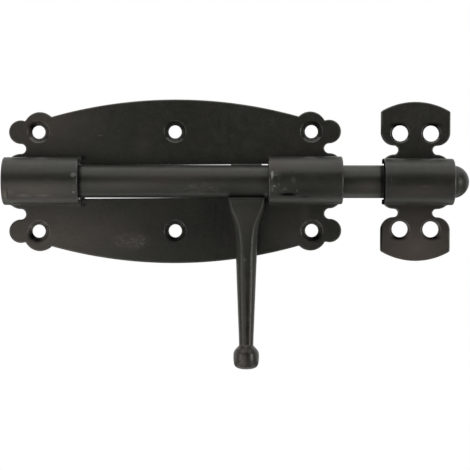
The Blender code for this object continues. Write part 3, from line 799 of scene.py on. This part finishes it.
class Nodes:
    """Shorthand for building the nodes of a material or a world."""

    def __init__(self, owner, shader, place=None):
        """Start from the owner's shader, and read place from Texture Coordinate."""
        owner.use_nodes = True
        self.tree = owner.node_tree
        self.shader = self.tree.nodes[shader]
        if place:
            self.place = self.add("ShaderNodeTexCoord").outputs[place]

    def fill(self, node, inputs):
        """Set each input to its value, or link it to its socket."""
        for key, value in inputs.items():
            if isinstance(value, bpy.types.NodeSocket):
                self.tree.links.new(value, node.inputs[key])
            else:
                node.inputs[key].default_value = value

    def add(self, kind, inputs=None, **settings):
        """New node with its settings and inputs."""
        node = self.tree.nodes.new(kind)
        for key, value in settings.items():
            setattr(node, key, value)
        self.fill(node, inputs or {})
        return node

    def noise(self, scale, detail, roughness, stretch=(1, 1, 1), shift=(0, 0, 0), bent=0.0):
        """Noise over the piece, from 0 to 1, stretched and shifted by a Mapping node."""
        mapping = {"Vector": self.place, "Scale": stretch, "Location": shift}
        inputs = {
            "Vector": self.add("ShaderNodeMapping", mapping).outputs[0],
            "Scale": scale,
            "Detail": detail,
            "Roughness": roughness,
            "Distortion": bent,
        }
        return self.add("ShaderNodeTexNoise", inputs).outputs["Fac"]

    def ramp(self, value, low, high, out_low=0.0, out_high=1.0):
        """Value from low to high turned into out_low to out_high, and held past them."""
        inputs = dict(enumerate([value, low, high, out_low, out_high]))
        return self.add("ShaderNodeMapRange", inputs).outputs[0]

    def math(self, operation, a, b):
        return self.add("ShaderNodeMath", {0: a, 1: b}, operation=operation).outputs[0]

    def vector(self, operation, *values):
        inputs = dict(enumerate(values))
        return self.add("ShaderNodeVectorMath", inputs, operation=operation).outputs

    def mix(self, share, a, b):
        inputs = {"Factor": share, "A": a, "B": b}
        return self.add("ShaderNodeMix", inputs, data_type="RGBA").outputs["Result"]

    def spot(self, centre, size, softness, stretch, ragged=None):
        """1 at a place and 0 past its size; ragged noise frays the border."""
        offset = self.vector("SUBTRACT", self.place, centre)[0]
        scaled = self.vector("DIVIDE", offset, stretch)[0]
        length = self.vector("LENGTH", scaled)["Value"]
        if ragged is not None:
            fray = self.math("MULTIPLY", self.math("SUBTRACT", ragged, 0.5), size)
            length = self.math("ADD", length, fray)
        return self.ramp(length, size, size * (1 - softness))


BLACK = (0.0134, 0.0142, 0.0106, 1)
WARM_BLACK = (0.0195, 0.0172, 0.0140, 1)
DUSTY_BLACK = (0.040, 0.038, 0.034, 1)
# Near-black used only for painted shade: the dark marks and the countersinks
SHADE_BLACK = (0.004, 0.004, 0.004, 1)
BARE_STEEL = (0.50, 0.50, 0.48, 1)
GREEN_SHEEN = (1.0, 1.0, 0.90, 1)
BROWN_SHEEN = (1.04, 0.97, 0.91, 1)
# Lighter rim colour: partly rubbed wear, partly a painted edge highlight
RIM_WEAR_AND_HIGHLIGHT = (0.085, 0.083, 0.075, 1)
# The sinks' share is painted shade: the countersinks' walls are darkened towards near-black
SHINE, SINK_SHINE, SINK_SHADE, EDGE_GLOSS = 0.5, 0.95, 0.30, 0.16
MARK_COLOURS = {
    "chip": BARE_STEEL,
    "flakes": BARE_STEEL,
    "scuff": (0.085, 0.083, 0.078, 1),
    # Warm, lighter coat: partly a warm tint, partly painted light on the lower and left parts
    "tint_and_light": (0.080, 0.065, 0.058, 1),
    # Pale warm streaks, mostly along the sleeves' lower fronts
    "pale_streak": (0.120, 0.100, 0.082, 1),
    # Painted shade and shadow: cast shadows, dark gaps beside the sleeves, dark bands on the
    # round parts and crescents in the countersinks
    "painted_shade": SHADE_BLACK,
}


def mark_mask(n, kind, centre, size, stretch):
    """Mask of one mark: a frayed chip, scattered flakes, a streaky scuff or a cloud."""
    if kind == "chip":
        return n.spot(centre, size, 0.5, stretch, n.noise(1100.0, 2.0, 0.6))
    cloud = n.spot(centre, size, 1.0, stretch)
    if kind == "flakes":
        flake = n.ramp(n.noise(1500.0, 2.0, 0.5), 0.54, 0.64)
        return n.math("MULTIPLY", flake, n.ramp(cloud, 0.0, 0.5))
    if kind == "scuff":
        streak = n.ramp(n.noise(330.0, 3.0, 0.6, (0.7, 1, 1.6), bent=1.5), 0.47, 0.62)
        return n.math("MULTIPLY", streak, n.ramp(cloud, 0.0, 0.6))
    return cloud


def coat_colour(n, cloud, mottle, shift, rim, sink):
    """Black that turns warmer with the clouds, dusted and streaked along the bar.

    Rolled rims are lighter in places, partly rubbed wear and partly a painted edge
    highlight, and the sinks are painted darker as shade in their recesses.
    """
    grain = n.noise(850.0, 4.0, 0.7, shift=shift)
    streak = n.noise(620.0, 3.0, 0.6, (0.07, 1, 1), shift)
    colour = n.mix(n.ramp(cloud, 0.48, 0.74), BLACK, WARM_BLACK)
    colour = n.mix(n.ramp(grain, 0.52, 0.78, 0.0, 0.55), colour, DUSTY_BLACK)
    colour = n.mix(n.ramp(streak, 0.50, 0.75, 0.0, 0.40), colour, WARM_BLACK)
    # The rolled rims are lightened in places: partly rubbed wear, partly a painted edge
    # highlight
    rim_wear_and_highlight = n.math("MULTIPLY", rim, n.ramp(mottle, 0.35, 0.65, 0.15, 0.75))
    colour = n.mix(rim_wear_and_highlight, colour, RIM_WEAR_AND_HIGHLIGHT)
    # Painted shade: the countersinks' walls are darkened towards near-black
    return n.mix(n.math("MULTIPLY", sink, SINK_SHADE), colour, SHADE_BLACK)


def lay_marks(n, marks, colour):
    """Colour with marks laid over what is there, and how much painted shade dulls it."""
    dull = 0.0
    for kind, centre, size, strength, stretch in marks:
        mask = n.math("MULTIPLY", mark_mask(n, kind, centre, size, stretch), strength)
        colour = n.mix(mask, colour, MARK_COLOURS[kind])
        # Painted shade takes the gloss away too
        if kind == "painted_shade":
            dull = n.math("MAXIMUM", dull, n.math("MINIMUM", mask, 1.0))
    return colour, dull


def dented(n, dents, peel, shift):
    """Normal over two sizes of noise, dents and peel deep, in metres."""
    wave = n.noise(110.0, 2.0, 0.5, shift=shift)
    fine = n.noise(640.0, 3.0, 0.65, shift=shift)
    wide = {"Height": wave, "Strength": 1.0, "Distance": dents}
    normal = n.add("ShaderNodeBump", wide).outputs[0]
    small = {"Height": fine, "Strength": 1.0, "Distance": peel, "Normal": normal}
    return n.add("ShaderNodeBump", small).outputs[0]


def satin_black(name, seed, marks, gloss, dents=0.00022, peel=0.00006, end_gloss=None):
    """Satin black coat over steel.

    Wide noise turns the sheen from green to brown, and the roughness wavers between
    the two values of gloss. The coat is glossier on rims and in sinks, and the painted
    shade marks take its gloss away. end_gloss is the roughness at the handle's lower
    end, where the coat is browner too.
    """
    material = bpy.data.materials.new(name)
    n = Nodes(material, "Principled BSDF", "Object")
    shift = (seed, seed * 0.37, -seed * 0.61)
    rim = n.add("ShaderNodeAttribute", attribute_name="rim").outputs["Fac"]
    sink = n.add("ShaderNodeAttribute", attribute_name="sink").outputs["Fac"]
    cloud = n.noise(30.0, 4.0, 0.6, shift=shift)
    mottle = n.noise(240.0, 4.0, 0.65, shift=shift)
    rough = n.ramp(mottle, 0.3, 0.7, *gloss)
    if end_gloss:
        height = n.add("ShaderNodeSeparateXYZ", {0: n.place}).outputs["Z"]
        cloud = n.math("ADD", cloud, n.ramp(height, -0.020, -0.082, -0.16, 0.22))
        low = n.ramp(height, -0.030, -0.080)
        rough = n.math("ADD", rough, n.math("MULTIPLY", low, end_gloss - sum(gloss) / 2))
    edge = n.math("MAXIMUM", rim, sink)
    rough = n.math("SUBTRACT", rough, n.math("MULTIPLY", edge, EDGE_GLOSS))
    colour = coat_colour(n, cloud, mottle, shift, rim, sink)
    colour, dull = lay_marks(n, marks, colour)
    pooled = n.math("ADD", n.math("MULTIPLY", sink, SINK_SHINE - SHINE), SHINE)
    level = n.math("MULTIPLY", n.math("SUBTRACT", 1.0, dull), pooled)
    sheen = n.mix(n.ramp(cloud, 0.50, 0.72), GREEN_SHEEN, BROWN_SHEEN)
    inputs = {
        "Base Color": colour,
        "Roughness": rough,
        "Specular Tint": sheen,
        "Specular IOR Level": level,
        "Normal": dented(n, dents, peel, shift),
    }
    n.fill(n.shader, inputs)
    return material


# Pieces


def keeper_turn():
    """Keeper's own frame to the world: a small turn about Y, then its place."""
    turn = np.array(Matrix.Rotation(KEEPER_TURN, 3, "Y"))
    return np.column_stack([turn, [KEEPER_PLACE[0], 0.0, KEEPER_PLACE[1]]])


def plate_piece(material):
    """Base plate: its blank, window and holes, bent over the two sleeves."""
    bend = SleeveBend(PLATE_BORE, PLATE_SLEEVE_LIFT, SLEEVE_MOUTH)
    quarters = plate_quarter(SLEEVE_RIGHT), plate_quarter(SLEEVE_LEFT)
    outline = subdivided(bend.spread(closed_outline(*quarters)))
    holes = hole_loops(PLATE_HOLES, PLATE_HOLE_RADIUS, bend)
    sunk = sunk_edge(PLATE_HOLE_RADIUS, PLATE_SINK_RADIUS)
    window = window_loop(bend)
    beside_mouth = np.abs(window[:, 0] - MOUTH_MIDDLE) > SLEEVE_MOUTH - 2 * LANCE
    torn = beside_mouth & (np.abs(window[:, 1]) > bend.wall_end)
    left_span = (-SLEEVE_LEFT, MOUTH_MIDDLE - SLEEVE_MOUTH)
    right_span = (MOUTH_MIDDLE + SLEEVE_MOUTH + LANCE, SLEEVE_RIGHT)
    return sheet_piece(
        "pressed_plate",
        bend,
        [outline, window, *holes],
        [punched_edge(), punched_edge(), *[sunk] * len(holes)],
        [1.0, np.where(torn, LANCE_ROLLOVER_SHARE, 1.0), *[1.0] * len(holes)],
        [left_span, right_span],
        (MOUTH_MIDDLE, SLEEVE_MOUTH - LANCE / 2),
        material,
    )


def keeper_piece(material):
    """Keeper: its blank and holes, bent over one sleeve along its whole width."""
    bend = SleeveBend(KEEPER_BORE, KEEPER_SLEEVE_LIFT)
    quarters = keeper_quarter(KEEPER_SLEEVE_RIGHT), keeper_quarter(KEEPER_SLEEVE_LEFT)
    outline = subdivided(bend.spread(closed_outline(*quarters)))
    holes = hole_loops(KEEPER_HOLES, KEEPER_HOLE_RADIUS, bend)
    sunk = sunk_edge(KEEPER_HOLE_RADIUS, KEEPER_SINK_RADIUS)
    return sheet_piece(
        "pressed_keeper",
        bend,
        [outline, *holes],
        [punched_edge(), *[sunk] * len(holes)],
        [1.0] * (1 + len(holes)),
        [(-KEEPER_SLEEVE_LEFT, KEEPER_SLEEVE_RIGHT)],
        (0.0, -1.0),
        material,
        keeper_turn(),
    )


def make_pieces():
    """All the pieces, each riding on its body and standing for its CAD node."""
    plate_coat = satin_black("plate_coat", 0.0, PLATE_MARKS, SHEET_GLOSS)
    keeper_coat = satin_black("keeper_coat", 3.1, KEEPER_MARKS, SHEET_GLOSS)
    bar_coat = satin_black("bar_coat", 5.7, BAR_MARKS, BAR_GLOSS)
    handle_coat = satin_black("handle_coat", 8.3, HANDLE_MARKS, HANDLE_GLOSS, *HANDLE_COAT)
    for piece, body, node, slot in (
        (plate_piece(plate_coat), "plates", "base_plate", "plate_coat"),
        (keeper_piece(keeper_coat), "plates", "keeper", "keeper_coat"),
        (bar_piece(bar_coat), "bolt", "bolt_rod", "rod_coat"),
        (handle_piece(handle_coat), "handle", "handle", "handle_coat"),
    ):
        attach(piece, body)
        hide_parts(node)


# Roughness of the coats, and the handle's dents, peel and lower end's roughness
SHEET_GLOSS = (0.345, 0.465)
BAR_GLOSS = (0.34, 0.46)
HANDLE_GLOSS = (0.34, 0.44)
HANDLE_COAT = (0.0003, 0.00003, 0.33)

# Marks on the coat: kind, centre, size, strength, stretch
PLATE_MARKS = [
    # Warm lighter clouds: partly tint, partly painted light
    ("tint_and_light", (-0.0640, -0.0025, -0.0270), 0.0300, 0.76, (1.7, 1, 0.8)),
    ("tint_and_light", (-0.0640, -0.0025, 0.0280), 0.0250, 0.48, (1.5, 1, 0.8)),
    ("tint_and_light", (-0.0660, -0.0200, -0.0045), 0.0090, 0.56, (3.0, 2, 0.7)),
    ("tint_and_light", (0.0600, -0.0200, 0.0070), 0.0060, 0.25, (3.5, 2, 0.7)),
    ("tint_and_light", (-0.0150, -0.0025, 0.0180), 0.0060, 0.20, (1.0, 1, 1.6)),
    ("tint_and_light", (0.0640, -0.0025, -0.0170), 0.0060, 0.25, (0.6, 1, 1.6)),
    # Pale warm streaks along the left sleeve's lower front
    ("pale_streak", (-0.0723, -0.0200, -0.0070), 0.0013, 0.60, (3.6, 4, 0.8)),
    ("pale_streak", (-0.0626, -0.0200, -0.0070), 0.0013, 0.55, (3.6, 4, 0.8)),
    ("pale_streak", (-0.0790, -0.0200, -0.0052), 0.0016, 0.35, (2.0, 4, 1.4)),
    # Painted shade on the right sleeve's lower half, beside the handle
    ("painted_shade", (0.0550, -0.0190, -0.0067), 0.0018, 1.60, (3.4, 4, 0.62)),
    ("painted_shade", (0.0632, -0.0190, -0.0079), 0.0014, 0.90, (2.6, 4, 0.4)),
    ("painted_shade", (0.0640, -0.0200, -0.0052), 0.0085, 0.44, (2.4, 2, 0.6)),
    ("scuff", (0.0471, -0.0215, -0.0025), 0.0045, 0.60, (0.22, 4, 1)),
    ("scuff", (0.0484, -0.0222, 0.0028), 0.0030, 0.45, (0.8, 4, 0.8)),
    ("chip", (0.0473, -0.0222, 0.0028), 0.0020, 0.40, (0.42, 4, 1.2)),
    ("chip", (0.0484, -0.0222, -0.0027), 0.0010, 0.22, (1.1, 4, 0.6)),
    ("chip", (0.0505, -0.0222, -0.0021), 0.0007, 0.10, (0.6, 4, 1.3)),
    ("chip", (0.0474, -0.0222, -0.0045), 0.0010, 0.10, (0.6, 4, 1.5)),
    ("chip", (0.0534, -0.0219, -0.0042), 0.0012, 0.06, (1.3, 4, 0.7)),
    ("chip", (0.0576, -0.0222, 0.0002), 0.0016, 0.045, (0.9, 4, 1.2)),
    ("chip", (0.0593, -0.0218, -0.0049), 0.0009, 0.06, (0.6, 4, 1.1)),
    ("flakes", (0.0510, -0.0220, -0.0040), 0.0032, 0.07, (1.3, 4, 0.8)),
    ("flakes", (0.0498, -0.0222, 0.0030), 0.0028, 0.12, (1.0, 4, 1.0)),
    ("chip", (-0.0481, -0.0220, 0.0029), 0.0017, 0.18, (1.0, 4, 0.8)),
    ("scuff", (-0.0480, -0.0218, -0.0020), 0.0045, 0.50, (0.18, 4, 1)),
    ("chip", (-0.0482, -0.0213, -0.0054), 0.0008, 0.20, (0.9, 4, 0.8)),
    # A pale warm streak at the left sleeve's lower left end
    ("pale_streak", (-0.0812, -0.0198, -0.0070), 0.0028, 0.80, (0.8, 4, 1.2)),
    ("chip", (-0.0367, -0.0025, 0.0226), 0.0008, 0.06, (2.0, 2, 0.5)),
    ("scuff", (-0.0283, -0.0025, 0.0171), 0.0018, 0.40, (1, 2, 0.7)),
    ("scuff", (-0.0640, -0.0200, 0.0062), 0.0100, 0.14, (1.6, 2, 0.4)),
    ("scuff", (-0.0212, -0.0025, -0.0294), 0.0075, 0.95, (1.4, 2, 0.55)),
    # Warm lighter cloud: partly tint, partly painted light
    ("tint_and_light", (-0.0210, -0.0025, -0.0290), 0.0080, 0.35, (1.3, 2, 0.7)),
    # Painted shade: gaps beside the left sleeve's mouth, the sleeve's lower left end, the
    # handle's shadow over the lower middle, and a darker upper middle
    ("painted_shade", (-0.0452, -0.0030, 0.0118), 0.0018, 0.80, (1.1, 3, 0.8)),
    ("painted_shade", (-0.0452, -0.0030, -0.0114), 0.0018, 0.80, (1.1, 3, 0.8)),
    ("painted_shade", (-0.0801, -0.0190, -0.0060), 0.0016, 0.70, (0.45, 4, 2.5)),
    ("painted_shade", (0.0090, -0.0025, -0.0250), 0.0300, 0.30, (1.1, 1, 0.9)),
    ("painted_shade", (0.0220, -0.0025, -0.0230), 0.0100, 0.22, (0.8, 1, 1.6)),
    ("painted_shade", (0.0050, -0.0025, 0.0240), 0.0300, 0.16, (1.2, 1, 0.8)),
    # Warm lighter cloud: partly tint, partly painted light
    ("tint_and_light", (0.0600, -0.0025, -0.0270), 0.0160, 0.26, (1.1, 1, 0.9)),
    # Painted shade: crescents on the outer sides of the countersinks
    ("painted_shade", (-0.0698, -0.0020, 0.0268), 0.0032, 1.30, (1, 2, 1)),
    ("painted_shade", (-0.0700, -0.0020, -0.0266), 0.0034, 1.40, (1, 2, 1)),
    ("painted_shade", (-0.0680, -0.0020, -0.0282), 0.0030, 1.10, (1, 2, 1)),
    ("painted_shade", (-0.0010, -0.0020, -0.0280), 0.0030, 1.10, (1.4, 2, 1)),
    ("painted_shade", (0.0690, -0.0020, 0.0275), 0.0030, 1.00, (1.2, 2, 1)),
    ("painted_shade", (0.0686, -0.0020, -0.0279), 0.0032, 1.30, (1.4, 2, 1)),
]
KEEPER_MARKS = [
    # Warm lighter clouds: partly tint, partly painted light
    ("tint_and_light", (0.1183, -0.0025, -0.0330), 0.0260, 1.00, (1.2, 1, 1.0)),
    ("tint_and_light", (0.1183, -0.0025, 0.0330), 0.0220, 0.10, (1.2, 1, 0.8)),
    ("tint_and_light", (0.1180, -0.0200, -0.0055), 0.0070, 0.45, (2.6, 2, 0.6)),
    # A pale warm streak low on the front of the keeper's sleeve
    ("pale_streak", (0.1210, -0.0210, -0.0030), 0.0012, 0.30, (3.0, 4, 0.7)),
    ("scuff", (0.1325, -0.0025, 0.0206), 0.0020, 0.45, (1.0, 2, 1.4)),
    ("scuff", (0.1045, -0.0210, -0.0020), 0.0040, 0.55, (0.16, 4, 1)),
    # Painted shade: a dark band round the sleeve's middle, the gap at its left end and
    # crescents in the countersinks
    ("painted_shade", (0.1183, -0.0215, 0.0005), 0.0070, 0.28, (2.8, 2, 0.6)),
    ("painted_shade", (0.1183, -0.0195, -0.0050), 0.0060, 0.18, (3.0, 2, 0.7)),
    ("painted_shade", (0.1010, -0.0107, 0.0), 0.0012, 3.00, (1, 40, 40)),
    *[
        ("painted_shade", (x, -0.0020, z), 0.0023, 1.50, (2.2, 2, 0.75))
        for x, z in [(0.1098, 0.0273), (0.1270, 0.0273), (0.1100, -0.0280), (0.1265, -0.0280)]
    ],
]
BAR_MARKS = [
    # Warm lighter clouds: partly tint, partly painted light
    ("tint_and_light", (0.0940, -0.0187, -0.0035), 0.0080, 0.45, (1.6, 2, 0.5)),
    ("tint_and_light", (-0.0250, -0.0187, -0.0020), 0.0080, 0.30, (3.0, 2, 0.45)),
    ("scuff", (0.0128, -0.0187, -0.0040), 0.0100, 0.35, (1.5, 2, 0.4)),
    # Painted shade and shadow: under the handle, rings at the sleeves' mouths, and darker at
    # the tip
    ("painted_shade", (0.0260, -0.0187, -0.0045), 0.0070, 0.30, (2.2, 2, 0.5)),
    ("painted_shade", (-0.0459, -0.0107, 0.0), 0.0018, 1.50, (1, 9, 9)),
    ("painted_shade", (0.1006, -0.0107, 0.0), 0.0018, 1.60, (1, 9, 9)),
    ("painted_shade", (0.1400, -0.0150, -0.0010), 0.0080, 0.28, (1, 1, 1)),
    # Warm lighter band: partly tint, partly painted light
    ("tint_and_light", (-0.0050, -0.0187, 0.0012), 0.0055, 0.28, (7.0, 2, 0.5)),
    # Painted shade along the bar's lower front
    ("painted_shade", (0.0100, -0.0173, -0.0045), 0.0060, 0.16, (12, 2, 0.7)),
    ("painted_shade", (0.0940, -0.0173, -0.0045), 0.0060, 0.16, (3, 2, 0.7)),
]
HANDLE_MARKS = [
    # Warm lighter clouds: partly tint, partly painted light
    ("tint_and_light", (0.0350, -0.0160, -0.0180), 0.0130, 0.16, (1, 2, 1)),
    ("chip", (0.0341, -0.0150, -0.0383), 0.0012, 0.07, (1.0, 2, 0.8)),
    # Painted shade: a dark streak down the middle of the shaft
    ("painted_shade", (0.0349, -0.0145, -0.0450), 0.0050, 0.24, (0.26, 1, 1.2)),
    ("painted_shade", (0.0352, -0.0140, -0.0590), 0.0060, 0.42, (0.20, 1, 1.6)),
    ("painted_shade", (0.0353, -0.0135, -0.0730), 0.0060, 0.45, (0.20, 1, 1.3)),
    # Warm lighter cloud: partly tint, partly painted light
    ("tint_and_light", (0.0320, -0.0150, -0.0850), 0.0060, 0.50, (0.8, 1, 1.2)),
    # Painted shade on the knob's middle
    ("painted_shade", (0.0352, -0.0165, -0.0830), 0.0030, 0.50, (0.5, 1, 1.0)),
]


# Stage, lights and camera

# One pixel at the front of the flat sheet in metres. Then in pixels: the eye's distance
# from there, its drop and its shift to the right, the photo's side, and the eye's row
PIXEL = 0.000492
EYE_PIXELS = 1600
EYE_ROW_DROP = 27.2
EYE_COLUMN_SHIFT = 59.9
FRAME_PIXELS = 470
EYE_ROW = 208.0
EYE_ROLL = math.radians(0.13)
SENSOR_WIDTH = 36.0
CAMERA_REACH = 50.0


def make_camera():
    """Camera at the photo's place: level, a little below the bar, with a small shift."""
    data = bpy.data.cameras.new("camera")
    data.sensor_width = SENSOR_WIDTH
    data.lens = SENSOR_WIDTH * EYE_PIXELS / FRAME_PIXELS
    data.shift_y = (EYE_ROW - FRAME_PIXELS / 2 + 0.5) / FRAME_PIXELS
    data.clip_end = CAMERA_REACH
    camera = linked("camera", data)
    place = Matrix.Translation(
        (EYE_COLUMN_SHIFT * PIXEL, -SHEET - EYE_PIXELS * PIXEL, -EYE_ROW_DROP * PIXEL)
    )
    level = place @ Matrix.Rotation(math.pi / 2, 4, "X")
    camera.matrix_world = Matrix.Rotation(EYE_ROLL, 4, "Y") @ level
    bpy.context.scene.camera = camera


def area_light(name, place, target, size, watts):
    """Soft rectangular lamp at a place, turned towards its target."""
    data = bpy.data.lights.new(name, "AREA")
    data.shape = "RECTANGLE"
    data.size, data.size_y = size
    data.energy = watts
    lamp = linked(name, data)
    lamp.location = place
    aim = Vector(target) - Vector(place)
    lamp.rotation_euler = aim.to_track_quat("-Z", "Y").to_euler()
    lamp.visible_camera = False


# Lamps: place, target, size, watts
LIGHTS = {
    "top": ((0.0, -0.358, 0.934), (0, 0, 0), (2.2, 1.2), 11.0),
    "low_left": ((-0.3575, -0.607, -0.233), (-0.3575, 0, 0), (0.715, 0.41), 1.00),
    "under_left": ((-0.2365, -0.234, -0.3606), (-0.2365, 0, 0), (0.473, 0.29), 0.25),
    "under_back": ((0.0, 0.154, -0.401), (0, 0, 0), (0.946, 0.27), 0.69),
    "low_side_left": ((-0.42, -0.12, -0.40), (0, 0, 0), (0.3, 0.25), 0.22),
    "low_side_right": ((0.42, -0.12, -0.40), (0, 0, 0), (0.3, 0.25), 0.17),
    "side_left": ((-1.2, -0.9, 0.0), (0, 0, 0), (0.5, 0.8), 3.2),
    "side_right": ((1.2, -0.9, 0.0), (0, 0, 0), (0.5, 0.8), 6.4),
}
WHITE = (1, 1, 1, 1)
WORLD_GLOW = 0.02
BACKDROP_EDGE = 0.1
FLOOR_Z = -0.45
FLOOR_RADIUS = 1.75
FLOOR_SIDES = 64
FLOOR_GREY = (0.66, 0.66, 0.66, 1)
FLOOR_ROUGHNESS = 0.9
FLOOR_GLOW = 0.6


def studio_world():
    """White backdrop all round for the camera, and behind the object for its gloss.

    Glossy and transmitted rays see the same white where they leave towards +Y. The
    rest of the room has a dim even glow.
    """
    world = bpy.data.worlds.new("studio")
    bpy.context.scene.world = world
    n = Nodes(world, "Background", "Generated")
    rays = n.add("ShaderNodeLightPath").outputs
    direction = n.add("ShaderNodeSeparateXYZ", {0: n.place}).outputs
    mirror = n.math("MAXIMUM", rays["Is Glossy Ray"], rays["Is Transmission Ray"])
    backdrop = n.math("MULTIPLY", mirror, n.ramp(direction["Y"], -BACKDROP_EDGE, BACKDROP_EDGE))
    shown = n.math("MAXIMUM", rays["Is Camera Ray"], backdrop)
    strength = n.ramp(shown, 0, 1, WORLD_GLOW, 1)
    n.fill(n.shader, {"Strength": strength, "Color": WHITE})


def make_floor():
    """Plain pale round floor below the object; it shows paler to the camera."""
    disc = arc((0, 0), FLOOR_RADIUS, 0, 360, FLOOR_SIDES + 1)[:-1]
    points = np.column_stack([disc, np.full(FLOOR_SIDES, FLOOR_Z)])
    mesh = bpy.data.meshes.new("floor")
    mesh.from_pydata(points.tolist(), [], [list(range(FLOOR_SIDES))])
    floor = linked("floor", mesh)
    material = bpy.data.materials.new("pale_floor")
    n = Nodes(material, "Principled BSDF")
    camera_ray = n.add("ShaderNodeLightPath").outputs["Is Camera Ray"]
    inputs = {
        "Base Color": FLOOR_GREY,
        "Roughness": FLOOR_ROUGHNESS,
        "Emission Color": WHITE,
        "Emission Strength": n.math("MULTIPLY", camera_ray, FLOOR_GLOW),
    }
    n.fill(n.shader, inputs)
    mesh.materials.append(material)


bpy.context.scene.view_settings.view_transform = "Standard"
make_camera()
studio_world()
make_floor()
for name, lamp in LIGHTS.items():
    area_light(name, *lamp)
make_pieces()
